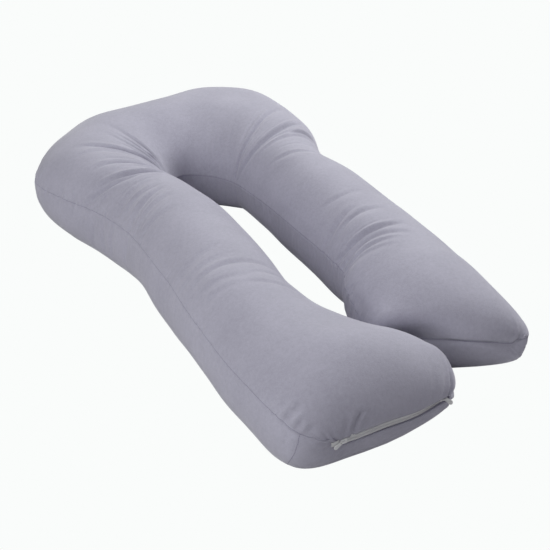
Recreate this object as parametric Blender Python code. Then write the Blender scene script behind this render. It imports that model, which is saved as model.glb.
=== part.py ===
"""A U-shaped body pillow, with a zip across the end of its left foot.

The pillow lies on its back on the surface z = 0, in metres, +Z up. +Y points from the two
feet towards the round head, +X from the left leg to the right leg. One filled cloth bag makes
the whole U: an upper and a lower panel, sewn together along one side seam that runs round the
outside and the inside of the U and across both feet. The zip closes the left foot.

A place on the pillow is given by two numbers. s is the distance along the middle of the U,
from the left foot's end round the head to the right foot's end. t runs round the section:
0 at the outer seam, 1 at the inner seam, the upper panel between them, and the middle of the
underside at 1.5, which is also -0.5.
"""

import math
from collections import namedtuple

import bmesh
import bpy
import numpy as np
from mathutils import Matrix

# ---------------------------------------------------------------- the pillow's sizes

# One row for each section across the U, from the left foot round the head to the right foot:
# where the outer and the inner side stand furthest out, the crown's height, and the seams'.
Section = namedtuple("Section", "outer_x outer_y inner_x inner_y crown outer_seam inner_seam")
SECTIONS = (
    Section(-0.285, -0.700, 0.094, -0.632, 0.195, 0.118, 0.080),
    Section(-0.310, -0.605, 0.040, -0.510, 0.195, 0.122, 0.088),
    Section(-0.308, -0.445, -0.055, -0.400, 0.195, 0.122, 0.096),
    Section(-0.300, -0.290, -0.070, -0.285, 0.195, 0.128, 0.102),
    Section(-0.287, -0.115, -0.052, -0.135, 0.198, 0.132, 0.104),
    Section(-0.270, 0.045, -0.045, 0.020, 0.200, 0.128, 0.103),
    Section(-0.280, 0.200, -0.055, 0.160, 0.200, 0.122, 0.099),
    Section(-0.320, 0.350, -0.076, 0.240, 0.198, 0.112, 0.094),
    Section(-0.328, 0.485, -0.077, 0.295, 0.194, 0.100, 0.090),
    Section(-0.255, 0.595, -0.066, 0.345, 0.190, 0.097, 0.086),
    Section(-0.140, 0.680, -0.042, 0.382, 0.188, 0.096, 0.082),
    Section(0.010, 0.682, -0.005, 0.396, 0.192, 0.096, 0.080),
    Section(0.180, 0.705, 0.022, 0.382, 0.197, 0.097, 0.081),
    Section(0.300, 0.640, 0.052, 0.346, 0.201, 0.099, 0.084),
    Section(0.333, 0.495, 0.072, 0.297, 0.201, 0.104, 0.088),
    Section(0.315, 0.350, 0.080, 0.238, 0.199, 0.112, 0.092),
    Section(0.268, 0.200, 0.078, 0.155, 0.198, 0.120, 0.097),
    Section(0.283, 0.040, 0.072, 0.022, 0.198, 0.126, 0.105),
    Section(0.282, -0.125, 0.067, -0.130, 0.197, 0.130, 0.108),
    Section(0.281, -0.240, 0.062, -0.222, 0.196, 0.131, 0.106),
    Section(0.280, -0.305, 0.041, -0.268, 0.196, 0.130, 0.104),
    Section(0.277, -0.375, 0.022, -0.328, 0.196, 0.126, 0.100),
    Section(0.275, -0.455, 0.013, -0.386, 0.195, 0.119, 0.096),
    Section(0.275, -0.540, 0.013, -0.436, 0.195, 0.107, 0.090),
    Section(0.279, -0.599, 0.058, -0.426, 0.195, 0.084, 0.080),
)

CENTRE = (0.0009, 0.0063)    # the middle of the rows' reach, which becomes the origin

WIDEST_HEIGHT = 0.080       # height at which the sides stand furthest out
SETTLE = 0.006              # how far its weight flattens the underside
TOP_ROUNDNESS = 2.1         # powers of the section's curve, 2 for an ellipse
UNDER_ROUNDNESS = 3.05
HEAD_INNER_ROUNDNESS = 6.0  # inside the head the bag stands nearly upright on the floor
HEAD_INNER_SPAN = (1.12, 1.34, 1.56, 1.68)      # s where that begins, is full and ends
FOOT_UNDER_ROUNDNESS = 0.65  # how the underside rises to a foot's end seam

# One row for each foot: how far back its slope reaches, the radii of its two corners in plan
# and the inner one's roundness (2 is a circle's), and how far its end bows out. Then how far
# its end seam rises above the widest height: in its middle, towards the inner corner, and
# where it turns the outer corner.
Foot = namedtuple("Foot", "slope outer_corner inner_corner inner_roundness bow "
                          "middle_rise inner_rise corner_rise")
LEFT_FOOT = Foot(0.145, 0.058, 0.062, 1.6, 0.011, 0.0, -0.010, 0.018)
RIGHT_FOOT = Foot(0.180, 0.055, 0.070, 2.0, 0.031, 0.016, 0.0, 0.006)
INNER_RISE_SPAN = (0.3, -0.5)       # places across the foot between which each rise comes on
CORNER_RISE_SPAN = (0.92, 1.0)

# The main folds of the cover, which run across the U. Each goes from (from_s, from_t) to
# (to_s, to_t), bows by bow along s in its middle, and is a trough of the given depth and
# half-width. A negative depth is a ridge.
Fold = namedtuple("Fold", "from_s from_t to_s to_t bow half_width depth")
FOLDS = (
    # left bend, from the head round to the leg
    Fold(1.212, 0.98, 1.208, 0.48, -0.016, 0.009, 0.0050),
    Fold(1.110, 1.00, 1.088, 0.38, 0.004, 0.011, 0.0090),
    Fold(0.955, 0.80, 0.960, 0.26, 0.020, 0.011, 0.0055),
    Fold(0.925, 0.70, 0.922, 0.10, -0.016, 0.010, 0.0095),
    Fold(0.893, 0.42, 0.926, -0.02, -0.008, 0.010, 0.0080),
    Fold(0.814, 0.47, 0.766, -0.01, -0.004, 0.011, 0.0065),
    # left leg
    Fold(0.422, 0.84, 0.438, -0.02, 0.022, 0.012, 0.0058),
    Fold(0.296, 0.78, 0.372, 0.40, 0.014, 0.011, 0.0046),
    # right bend
    Fold(1.682, 0.38, 1.672, 1.00, -0.004, 0.011, 0.0080),
    Fold(1.764, 0.26, 1.688, 0.98, 0.018, 0.012, 0.0100),
    Fold(1.822, 0.08, 1.790, 0.46, -0.005, 0.010, 0.0060),
    Fold(1.906, 0.30, 1.852, 0.70, 0.004, 0.011, 0.0042),
    # right leg
    Fold(2.172, 0.56, 2.184, 1.04, 0.000, 0.012, 0.0050),
    Fold(2.216, 0.38, 2.218, 0.92, -0.020, 0.011, 0.0055),
    Fold(2.286, 0.38, 2.236, 1.02, 0.008, 0.011, 0.0085),
    Fold(2.330, 0.38, 2.270, 1.05, -0.006, 0.010, 0.0060),
)
FOLD_SHOULDER = 0.25        # height of the soft ridge on each side of a trough, over its depth
FOLD_SHOULDER_AT = 1.9      # where that ridge is, in half-widths
FOLD_FADE = 0.7             # power with which a fold fades towards its two ends

SEAM_TURN = 0.030           # from a foot's end, where the side seam turns into its end seam
SEAM_DEPTH = 0.0025         # how far the stitching pulls the seam in
SEAM_HALF_WIDTH = 0.022     # of the section's t
END_SEAM_HALF_HEIGHT = 0.002    # the right foot's end seam, which has no zip

SECTION_STEP = 0.036        # spacing of the mesh's sections between the feet
FOLD_STEP = 0.0100          # closer spacing where there are folds
FOLD_REACH = 2.6            # how far a fold's zone reaches, in half-widths
FOOT_STEPS = 6              # sections on each foot's slope
PANEL_STEPS = 15            # even steps across each panel, between its seam strips

# ---------------------------------------------------------------- the zip's sizes

ZIP_SLOT_HALF_HEIGHT = 0.0065   # the foot's end seam parts by this much each way
ZIP_SLOT_DEPTH = 0.0065
CLEARANCE = 0.0003              # between the zip's pieces
TAPE_HALF_HEIGHT = 0.0057
TAPE_THICKNESS = 0.0012
COIL_HALF_HEIGHT = 0.0024
COIL_THICKNESS = 0.0016
TAPE_REACH = (0.90, 0.95)       # shares of the slot's half length, to its outer and inner ends
SLOT_TAPER = 0.030              # share of that half length over which the slot's ends close

SLIDER_LENGTH = 0.0165
SLIDER_HALF_WIDTH = 0.0046
SLIDER_NOSE_HALF_WIDTH = 0.0031
SLIDER_THICKNESS = 0.0030
BRIDGE_LENGTH = 0.0080
BRIDGE_WIDTH = 0.0020
BRIDGE_BAR = 0.0012
BRIDGE_GAP = 0.0022             # under the bridge, where the pull's ring passes
PULL_THICKNESS = 0.0014
PULL_HALF_WIDTH = 0.0037
PULL_LENGTH = 0.0205
PULL_BAR = 0.0014               # of the pull's ring, round its hole
PULL_HOLE_LENGTH = 0.0052
PULL_HOLE_HALF_WIDTH = 0.0021

# One row for each slider: its place along the slot (1 at the outer corner, -1 at the inner),
# the way its nose points along the slot, and how far its pull hangs below the slot's line.
Slider = namedtuple("Slider", "name across nose pull_angle")
SLIDERS = (
    Slider("outer", 0.83, 1, math.radians(32)),
    Slider("inner", -0.90, -1, math.radians(50)),
)

PILLOW_COLOUR = (0.355, 0.350, 0.410)
TAPE_COLOUR = (0.36, 0.36, 0.38)
SLIDER_COLOUR = (0.42, 0.42, 0.44)


# ---------------------------------------------------------------- scene and materials


def clear_scene():
    for old in list(bpy.data.objects):
        bpy.data.objects.remove(old, do_unlink=True)


def new_material(name, colour, roughness, metallic):
    material = bpy.data.materials.new(name)
    material.use_nodes = True
    shader = material.node_tree.nodes["Principled BSDF"]
    shader.inputs["Base Color"].default_value = (*colour, 1.0)
    shader.inputs["Roughness"].default_value = roughness
    shader.inputs["Metallic"].default_value = metallic
    return material


def add_object(name, mesh, material, collection):
    piece = bpy.data.objects.new(name, mesh)
    mesh.materials.clear()
    mesh.materials.append(material)
    collection.objects.link(piece)
    return piece


# ---------------------------------------------------------------- the pillow's surface


def smooth_rows(rows, steps):
    """A Catmull-Rom curve through the rows, with steps points from each row to the next."""
    rows = np.array(rows, dtype=float)
    padded = np.vstack([2 * rows[0] - rows[1], rows, 2 * rows[-1] - rows[-2]])
    k = np.linspace(0, 1, steps, endpoint=False)[None, :, None]
    a, b, c, d = (padded[i:len(padded) - 3 + i, None] for i in range(4))
    curve = 0.5 * (2 * b + (c - a) * k + (2 * a - 5 * b + 4 * c - d) * k**2
                   + (3 * b - a - 3 * c + d) * k**3)
    return np.vstack([curve.reshape(-1, rows.shape[1]), rows[-1:]])


ROWS = np.array(SECTIONS)
ROWS[:, 0:4] -= CENTRE * 2
PATH = smooth_rows(ROWS, 8)
MIDDLE = (PATH[:, 0:2] + PATH[:, 2:4]) / 2
ALONG = np.concatenate([[0.0], np.cumsum(np.linalg.norm(np.diff(MIDDLE, axis=0), axis=1))])
LENGTH = ALONG[-1]


def signed_power(value, power):
    return np.sign(value) * np.abs(value) ** power


def corner_inset(distance, radius, roundness=2.0):
    """How far a side steps in at this distance from a foot's end, round a corner."""
    k = 1 - np.clip(distance / radius, 0, 1)
    return radius * (1 - (1 - k**roundness) ** (1 / roundness))


def eased(value, start, end):
    """0 at start and 1 at end, with a soft beginning and finish."""
    k = np.clip((value - start) / (end - start), 0, 1)
    return k * k * (3 - 2 * k)


def end_rise(foot, across):
    """How far a foot's end seam is above its sides' widest height."""
    return (foot.middle_rise * (1 - across**2)
            + foot.inner_rise * eased(across, *INNER_RISE_SPAN)
            + foot.corner_rise * eased(across, *CORNER_RISE_SPAN))


def slope_rise(foot, across, to_end):
    return end_rise(foot, across) * np.clip(1 - to_end / foot.slope, 0, 1) ** 2


def seam_angle(seam, crown):
    lift = np.clip((seam - WIDEST_HEIGHT) / (crown - WIDEST_HEIGHT), 0, 1)
    return np.arcsin(lift ** (TOP_ROUNDNESS / 2))


def section_angle(s, t):
    """The angle round the section, 0 at the outer side and 90 degrees at the crown."""
    crown, outer_seam, inner_seam = (np.interp(s, ALONG, PATH[:, k]) for k in (4, 5, 6))
    turn_in = np.sqrt(np.clip(np.minimum(s, LENGTH - s) / SEAM_TURN, 0, 1))
    outer = seam_angle(outer_seam, crown) * turn_in
    inner = seam_angle(inner_seam, crown) * turn_in
    upper = outer + t * (np.pi - inner - outer)
    under_outer = outer + t * (np.pi + 2 * outer)
    under_inner = np.pi - inner + (t - 1) * (np.pi + 2 * inner)
    return np.where(t < 0, under_outer, np.where(t > 1, under_inner, upper))


def plain_point(s, t):
    """The filled bag without folds or seams."""
    s, t = np.broadcast_arrays(np.asarray(s, float), np.asarray(t, float))
    row = [np.interp(s, ALONG, PATH[:, k]) for k in range(5)]
    outer = np.stack(row[0:2], axis=-1)
    inner = np.stack(row[2:4], axis=-1)
    crown = row[4]
    to_left, to_right = s, LENGTH - s

    slope = np.clip(np.minimum(to_left / LEFT_FOOT.slope, to_right / RIGHT_FOOT.slope), 0, 1)
    fill = np.sqrt(1 - (1 - slope) ** 2)

    outwards = outer - inner
    outwards = outwards / np.linalg.norm(outwards, axis=-1)[..., None]
    forwards = np.stack([outwards[..., 1], -outwards[..., 0]], axis=-1)
    outer_step = (corner_inset(to_left, LEFT_FOOT.outer_corner)
                  + corner_inset(to_right, RIGHT_FOOT.outer_corner))
    inner_step = sum(corner_inset(to_end, foot.inner_corner, foot.inner_roundness)
                     for foot, to_end in ((LEFT_FOOT, to_left), (RIGHT_FOOT, to_right)))
    outer = outer - outwards * outer_step[..., None]
    inner = inner + outwards * inner_step[..., None]
    half_width = np.linalg.norm(outer - inner, axis=-1) / 2
    bow = (RIGHT_FOOT.bow * np.clip(1 - to_right / RIGHT_FOOT.slope, 0, 1) ** 2
           - LEFT_FOOT.bow * np.clip(1 - to_left / LEFT_FOOT.slope, 0, 1) ** 2)

    angle = section_angle(s, t)
    in_head = np.interp(s, HEAD_INNER_SPAN, (0, 1, 1, 0)) * (t > 1)
    under_roundness = UNDER_ROUNDNESS + (HEAD_INNER_ROUNDNESS - UNDER_ROUNDNESS) * in_head
    roundness = np.where(np.sin(angle) >= 0, TOP_ROUNDNESS, under_roundness)
    across = signed_power(np.cos(angle), 2 / roundness)
    height = signed_power(np.sin(angle), 2 / roundness)
    plan = ((outer + inner) / 2 + outwards * (half_width * across)[..., None]
            + forwards * (bow * (1 - across**2))[..., None])
    widest = (WIDEST_HEIGHT + slope_rise(LEFT_FOOT, across, to_left)
              + slope_rise(RIGHT_FOOT, across, to_right))
    over = widest + (crown - widest) * fill * height
    under = widest + (widest + SETTLE) * fill**FOOT_UNDER_ROUNDNESS * height
    z = np.where(height >= 0, over, np.maximum(under, 0))
    return np.concatenate([plan, z[..., None]], axis=-1)


def outward_normal(s, t):
    small_s, small_t = 0.004, 0.01
    along = plain_point(s + small_s, t) - plain_point(s - small_s, t)
    around = plain_point(s, t + small_t) - plain_point(s, t - small_t)
    normal = np.cross(around, along)
    return normal / np.maximum(np.linalg.norm(normal, axis=-1), 1e-9)[..., None]


def fold_depth(s, t):
    depth = np.zeros(np.broadcast(s, t).shape)
    for fold in FOLDS:
        k = (t - fold.from_t) / (fold.to_t - fold.from_t)
        centre = fold.from_s + (fold.to_s - fold.from_s) * k + fold.bow * 4 * k * (1 - k)
        u = (s - centre) / fold.half_width
        shoulders = (np.exp(-(u - FOLD_SHOULDER_AT) ** 2)
                     + np.exp(-(u + FOLD_SHOULDER_AT) ** 2))
        fade = np.sin(np.pi * np.clip(k, 0, 1)) ** FOLD_FADE
        depth += fold.depth * fade * (np.exp(-u**2) - FOLD_SHOULDER * shoulders)
    return depth


def seam_depth(t):
    """The stitching draws the two seams, at t = 0 and t = 1, into the filling."""
    from_seam = np.minimum(np.abs(t), np.abs(t - 1))
    return SEAM_DEPTH * np.clip(1 - from_seam / SEAM_HALF_WIDTH, 0, 1)


def pillow_point(s, t):
    depth = fold_depth(s, t) + seam_depth(t)
    point = plain_point(s, t) - outward_normal(s, t) * depth[..., None]
    point[..., 2] = np.maximum(point[..., 2], 0)
    return point


def foot_end(foot, row, across, out, up):
    """A place by a foot's end seam: across runs along it, 1 at the outer corner and -1 at
    the inner corner, out is how far it stands out of the foot, up is from the seam."""
    across, out, up = np.broadcast_arrays(across, out, up)
    outer, inner = np.array(row[0:2]), np.array(row[2:4])
    outwards = (outer - inner) / np.linalg.norm(outer - inner)
    outer = outer - outwards * foot.outer_corner
    inner = inner + outwards * foot.inner_corner
    half_width = np.linalg.norm(outer - inner) / 2
    away = np.array([-outwards[1], outwards[0]]) * (1 if foot is LEFT_FOOT else -1)
    plan = ((outer + inner) / 2 + outwards * (half_width * across)[..., None]
            + away * (foot.bow * (1 - across**2) + out)[..., None])
    z = WIDEST_HEIGHT + end_rise(foot, across) + up
    return np.concatenate([plan, z[..., None]], axis=-1)


# ---------------------------------------------------------------- the pillow's mesh


def panel_columns():
    """The t of each column of faces: the upper panel, then the lower one, as one ring."""
    panel = np.concatenate([[0.0], np.linspace(SEAM_HALF_WIDTH, 1 - SEAM_HALF_WIDTH,
                                               PANEL_STEPS + 1)])
    lower = 1 + panel
    return panel, np.concatenate([panel, [1.0], np.where(lower > 1.5, lower - 2, lower)[1:]])


def is_folded(s):
    for fold in FOLDS:
        reach = FOLD_REACH * fold.half_width
        low, high = sorted((fold.from_s, fold.to_s))
        if low - reach < s < high + reach:
            return True
    return False


def section_places():
    """The s of each section: closer on the feet's slopes and where there are folds."""
    turn = np.linspace(0, math.pi / 2, FOOT_STEPS + 1)[1:]
    places = list(LEFT_FOOT.slope * (1 - np.cos(turn)))
    right = list(LENGTH - RIGHT_FOOT.slope * (1 - np.cos(turn))[::-1])
    while places[-1] < right[0] - SECTION_STEP:
        places.append(places[-1] + (FOLD_STEP if is_folded(places[-1]) else SECTION_STEP))
    return np.array(places + right)


def places_across(panel):
    """Where the panel's columns meet an end seam, from 1 at its outer corner to -1."""
    return signed_power(np.cos(np.pi * panel), 2 / TOP_ROUNDNESS)


def end_ring(foot, row, panel, half_height, depth):
    """The ring of an end seam's lips, or of a slot's floor: upper lip, then lower lip."""
    across = places_across(panel)
    opening = np.clip((1 - np.abs(across)) / SLOT_TAPER, 0.1, 1)
    upper = foot_end(foot, row, across, -depth * opening, half_height * opening)
    last = foot_end(foot, row, -1.0, -depth * 0.1, 0.0)
    lower = foot_end(foot, row, across, -depth * opening, -half_height * opening)
    first = foot_end(foot, row, 1.0, -depth * 0.1, 0.0)
    return np.vstack([first, upper[1:], last, lower[:0:-1]])


def ring_mesh(name, rings):
    """Closed rings of points joined one to the next; the first and last ring are closed by
    strips between their two halves."""
    shape = bmesh.new()
    loops = [[shape.verts.new(point) for point in ring] for ring in rings]
    count = len(loops[0])
    for low, high in zip(loops, loops[1:]):
        for k in range(count):
            after = (k + 1) % count
            shape.faces.new((low[k], low[after], high[after], high[k]))
    for loop in (loops[0], loops[-1]):
        for k in range(count // 2):
            across = [loop[k], loop[k + 1], loop[-k - 1], loop[-k]]
            corners = list(dict.fromkeys(across))
            shape.faces.new(corners)
    bmesh.ops.recalc_face_normals(shape, faces=shape.faces[:])
    mesh = bpy.data.meshes.new(name)
    shape.to_mesh(mesh)
    shape.free()
    return mesh


def build_pillow(collection):
    panel, ring = panel_columns()
    places = section_places()
    body = pillow_point(places[:, None], ring[None, :])
    lips = end_ring(LEFT_FOOT, ROWS[0], panel, ZIP_SLOT_HALF_HEIGHT, 0.0)
    floor = end_ring(LEFT_FOOT, ROWS[0], panel, ZIP_SLOT_HALF_HEIGHT, ZIP_SLOT_DEPTH)
    far_seam = end_ring(RIGHT_FOOT, ROWS[-1], panel, END_SEAM_HALF_HEIGHT, 0.0)
    mesh = ring_mesh("pillow", [floor, lips, *body, far_seam])
    mesh.shade_smooth()
    cloth = new_material("brushed cotton jersey", PILLOW_COLOUR, 0.9, 0.0)
    return add_object("pillow", mesh, cloth, collection)


# ---------------------------------------------------------------- the zip


def build_tape(collection):
    """The two halves of the tape, closed by their coil, as one strip on the slot's floor. It
    bends where the slot does, at the panel's columns."""
    back = -ZIP_SLOT_DEPTH + CLEARANCE
    front = back + TAPE_THICKNESS
    coil = front + COIL_THICKNESS
    profile = ((back, TAPE_HALF_HEIGHT), (front, TAPE_HALF_HEIGHT), (front, COIL_HALF_HEIGHT),
               (coil, COIL_HALF_HEIGHT * 0.6))
    profile += tuple((out, -up) for out, up in reversed(profile))
    out, up = np.array(profile).T
    outer_end, inner_end = TAPE_REACH
    columns = places_across(panel_columns()[0])
    between = columns[(columns < outer_end) & (columns > -inner_end)]
    rings = [foot_end(LEFT_FOOT, ROWS[0], across, out, up)
             for across in (outer_end, *between, -inner_end)]
    shape = bmesh.new()
    loops = [[shape.verts.new(point) for point in ring] for ring in rings]
    for low, high in zip(loops, loops[1:]):
        for k in range(len(profile)):
            after = (k + 1) % len(profile)
            shape.faces.new((low[k], low[after], high[after], high[k]))
    shape.faces.new(loops[0])
    shape.faces.new(loops[-1])
    bmesh.ops.recalc_face_normals(shape, faces=shape.faces[:])
    mesh = bpy.data.meshes.new("zip_tape")
    shape.to_mesh(mesh)
    shape.free()
    tape = new_material("woven polyester tape", TAPE_COLOUR, 0.7, 0.0)
    return add_object("zip_tape", mesh, tape, collection)


def flat_plate(name, outlines, thickness):
    """A plate in the XY plane, from z = 0 up; the first outline is its rim, others are holes."""
    curve = bpy.data.curves.new(name, "CURVE")
    curve.dimensions = "2D"
    curve.fill_mode = "BOTH"
    curve.extrude = thickness / 2
    for outline in outlines:
        spline = curve.splines.new("POLY")
        spline.points.add(len(outline) - 1)
        for point, (x, y) in zip(spline.points, outline):
            point.co = (x, y, 0.0, 1.0)
        spline.use_cyclic_u = True
    holder = bpy.data.objects.new(name, curve)
    bpy.context.scene.collection.objects.link(holder)
    bpy.context.view_layer.update()
    graph = bpy.context.evaluated_depsgraph_get()
    mesh = bpy.data.meshes.new_from_object(holder.evaluated_get(graph))
    bpy.data.objects.remove(holder, do_unlink=True)
    bpy.data.curves.remove(curve)
    shape = bmesh.new()
    shape.from_mesh(mesh)
    bmesh.ops.remove_doubles(shape, verts=shape.verts[:], dist=1e-6)
    bmesh.ops.translate(shape, verts=shape.verts[:], vec=(0, 0, thickness / 2))
    bmesh.ops.recalc_face_normals(shape, faces=shape.faces[:])
    shape.to_mesh(mesh)
    shape.free()
    return mesh


def slider_frame(slider):
    """The slider's own axes: X towards its nose, along the slot, Y up and Z out."""
    place = foot_end(LEFT_FOOT, ROWS[0], slider.across, 0.0, 0.0)
    before = foot_end(LEFT_FOOT, ROWS[0], slider.across - 0.01 * slider.nose, 0.0, 0.0)
    nose = (place - before) / np.linalg.norm(place - before)
    up = np.array([0.0, 0.0, 1.0])
    out = np.cross(nose, up) * slider.nose
    out = out if out[1] < 0 else -out
    frame = Matrix.Identity(4)
    side = np.cross(out, nose)
    for axis, direction in enumerate((nose, side, out)):
        for k in range(3):
            frame[k][axis] = direction[k]
    for k in range(3):
        frame[k][3] = place[k]
    return frame, side[2]


def slider_outline():
    nose, heel = SLIDER_LENGTH / 2, -SLIDER_LENGTH / 2
    wide, narrow = SLIDER_HALF_WIDTH, SLIDER_NOSE_HALF_WIDTH
    half = ((nose, narrow * 0.55), (nose * 0.86, narrow), (nose * 0.30, wide * 0.93),
            (-nose * 0.10, wide), (heel * 0.86, wide), (heel, wide * 0.78))
    return half + tuple((x, -y) for x, y in reversed(half))


def bridge_outline():
    """The arch that holds the pull, seen from its side; its feet sink into the slider."""
    half, top, foot = BRIDGE_LENGTH / 2, BRIDGE_GAP + BRIDGE_BAR, -0.0006
    bar = BRIDGE_BAR
    return ((half, foot), (half, top * 0.62), (half * 0.72, top), (-half * 0.72, top),
            (-half, top * 0.62), (-half, foot), (-half + bar, foot), (-half + bar, top * 0.5),
            (-half * 0.62, BRIDGE_GAP), (half * 0.62, BRIDGE_GAP), (half - bar, top * 0.5),
            (half - bar, foot))


def union(target, cutter):
    modifier = target.modifiers.new("join", "BOOLEAN")
    modifier.operation = "UNION"
    modifier.object = cutter


def build_slider(slider, collection, cutters, metal):
    frame, _ = slider_frame(slider)
    seat = -ZIP_SLOT_DEPTH + 2 * CLEARANCE + TAPE_THICKNESS + COIL_THICKNESS
    body = flat_plate("slider_" + slider.name, [slider_outline()], SLIDER_THICKNESS)
    piece = add_object("slider_" + slider.name, body, metal, collection)
    piece.matrix_world = frame @ Matrix.Translation((0, 0, seat))
    arch = flat_plate("bridge_" + slider.name, [bridge_outline()], BRIDGE_WIDTH)
    bridge = add_object("bridge_" + slider.name, arch, metal, cutters)
    upright = Matrix.Rotation(math.pi / 2, 4, "X")
    bridge.matrix_world = (frame @ Matrix.Translation((0, BRIDGE_WIDTH / 2,
                                                       seat + SLIDER_THICKNESS)) @ upright)
    bridge.hide_render = True
    bridge.display_type = "WIRE"
    union(piece, bridge)
    return seat + SLIDER_THICKNESS


def pull_outline():
    """The pull from its ring, at x = 0, to its rounded end."""
    turn = np.linspace(-math.pi / 2, math.pi / 2, 9)
    centre = PULL_LENGTH - PULL_HALF_WIDTH
    end = [(centre + PULL_HALF_WIDTH * math.cos(a), PULL_HALF_WIDTH * math.sin(a)) for a in turn]
    ring = PULL_HOLE_HALF_WIDTH + PULL_BAR
    rim = [(-PULL_BAR / 2, -ring * 0.7), (PULL_BAR, -ring), (PULL_LENGTH * 0.4, -ring), *end,
           (PULL_LENGTH * 0.4, ring), (PULL_BAR, ring), (-PULL_BAR / 2, ring * 0.7)]
    inside, width = PULL_BAR / 2, PULL_HOLE_HALF_WIDTH
    hole = [(inside, -width), (inside, width), (inside + PULL_HOLE_LENGTH, width * 0.8),
            (inside + PULL_HOLE_LENGTH, -width * 0.8)]
    return [rim, hole]


def build_pull(slider, front, collection, metal):
    """The pull lies just in front of the slider. Its ring passes under the bridge, round the
    bridge's foot on the nose's side."""
    frame, up_sign = slider_frame(slider)
    mesh = flat_plate("pull_" + slider.name, pull_outline(), PULL_THICKNESS)
    piece = add_object("pull_" + slider.name, mesh, metal, collection)
    hang = Matrix.Rotation(-math.copysign(slider.pull_angle, up_sign), 4, "Z")
    foot = Matrix.Translation(((BRIDGE_LENGTH - BRIDGE_BAR) / 2, 0,
                               front + (BRIDGE_GAP - PULL_THICKNESS) / 2))
    hole_middle = Matrix.Translation((-(PULL_BAR + PULL_HOLE_LENGTH) / 2, 0, 0))
    piece.matrix_world = frame @ foot @ hang @ hole_middle
    return piece


# ---------------------------------------------------------------- the whole


def build():
    clear_scene()
    scene = bpy.context.scene
    body_pillow = bpy.data.collections.new("body pillow")
    cutters = bpy.data.collections.new("cutters")
    scene.collection.children.link(body_pillow)
    scene.collection.children.link(cutters)
    build_pillow(body_pillow)
    build_tape(body_pillow)
    metal = new_material("painted zinc", SLIDER_COLOUR, 0.4, 0.6)
    for slider in SLIDERS:
        front = build_slider(slider, body_pillow, cutters, metal)
        build_pull(slider, front, body_pillow, metal)


build()
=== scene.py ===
"""A U-shaped body pillow of lavender-grey brushed jersey, with a zip across its left foot."""

import math
from collections import namedtuple

import bmesh
import bpy
import numpy as np
from mathutils import Matrix, Vector


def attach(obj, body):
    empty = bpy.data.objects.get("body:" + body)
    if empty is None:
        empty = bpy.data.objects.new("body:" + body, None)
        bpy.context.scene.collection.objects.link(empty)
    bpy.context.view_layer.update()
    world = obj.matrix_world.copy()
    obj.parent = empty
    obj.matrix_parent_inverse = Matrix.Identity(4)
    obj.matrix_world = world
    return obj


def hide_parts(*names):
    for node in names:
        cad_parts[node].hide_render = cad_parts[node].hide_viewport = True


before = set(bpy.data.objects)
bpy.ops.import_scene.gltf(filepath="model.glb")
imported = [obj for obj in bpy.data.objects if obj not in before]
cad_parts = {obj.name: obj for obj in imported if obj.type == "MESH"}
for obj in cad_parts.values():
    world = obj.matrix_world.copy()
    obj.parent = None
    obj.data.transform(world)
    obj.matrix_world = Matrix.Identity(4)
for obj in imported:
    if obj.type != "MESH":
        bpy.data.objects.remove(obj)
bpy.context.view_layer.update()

# ------------------------------------------------------------------ the studio
# A pale, matt floor under broad overhead softboxes. The camera stands to the left of the
# pillow's feet and looks down along its length.

FOOT_SIDE_AZIMUTH = math.radians(27.70)     # to the left of the pillow's own axis
LOOK_DOWN = math.radians(28.75)
CAMERA_PLACE = (-1.2259, -2.3903, 1.4793)
PICTURE_WIDTH = 550
FOCAL_PIXELS = 1445
SENSOR_MM = 36

camera_data = bpy.data.cameras.new("camera")
camera_data.sensor_width = SENSOR_MM
camera_data.lens = FOCAL_PIXELS / PICTURE_WIDTH * SENSOR_MM


def new_object(name, data):
    made = bpy.data.objects.new(name, data)
    bpy.context.scene.collection.objects.link(made)
    return made


camera = new_object("camera", camera_data)
camera.location = CAMERA_PLACE
camera.rotation_euler = (math.pi / 2 - LOOK_DOWN, 0, -FOOT_SIDE_AZIMUTH)
bpy.context.scene.camera = camera
bpy.context.scene.view_settings.view_transform = "Standard"


def linear(hex_colour):
    """An sRGB hex colour as the linear RGBA that a shader takes."""
    parts = [int(hex_colour[k:k + 2], 16) / 255 for k in (1, 3, 5)]
    return tuple(p / 12.92 if p <= 0.04045 else ((p + 0.055) / 1.055) ** 2.4
                 for p in parts) + (1.0,)


SOFTBOX_SIDE, SOFTBOX_DISTANCE = 2.2, 3.5


def softbox(name, azimuth, elevation, watts):
    """A square softbox turned to the pillow; azimuth 0 is beyond the head, 90 to the right."""
    turn, lift = math.radians(azimuth), math.radians(elevation)
    towards = Vector((math.sin(turn) * math.cos(lift), math.cos(turn) * math.cos(lift),
                      math.sin(lift)))
    light = bpy.data.lights.new(name, "AREA")
    light.shape = "SQUARE"
    light.size = SOFTBOX_SIDE
    light.energy = watts
    light.color = linear("#fdfffb")[:3]
    lamp = new_object(name, light)
    lamp.location = towards * SOFTBOX_DISTANCE
    lamp.rotation_euler = (-towards).to_track_quat("-Z", "Y").to_euler()


softbox("right softbox", 68, 38, 104)
softbox("overhead softbox", 75, 64, 28)
softbox("left softbox", 258, 34, 64)
softbox("front fill", 226, 16, 9)


def set_inputs(owner, node, values):
    """Links or sets a node's inputs by socket name, or by _ and the socket's number."""
    for name, value in values.items():
        socket = node.inputs[int(name[1:])] if name[0] == "_" else node.inputs[name]
        if isinstance(value, bpy.types.NodeSocket):
            owner.node_tree.links.new(value, socket)
        else:
            socket.default_value = value


def add_node(owner, kind, settings=None, **inputs):
    """Adds a node to a material or world; settings are its own properties."""
    node = owner.node_tree.nodes.new(kind)
    for name, value in (settings or {}).items():
        setattr(node, name, value)
    set_inputs(owner, node, inputs)
    return node


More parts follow.
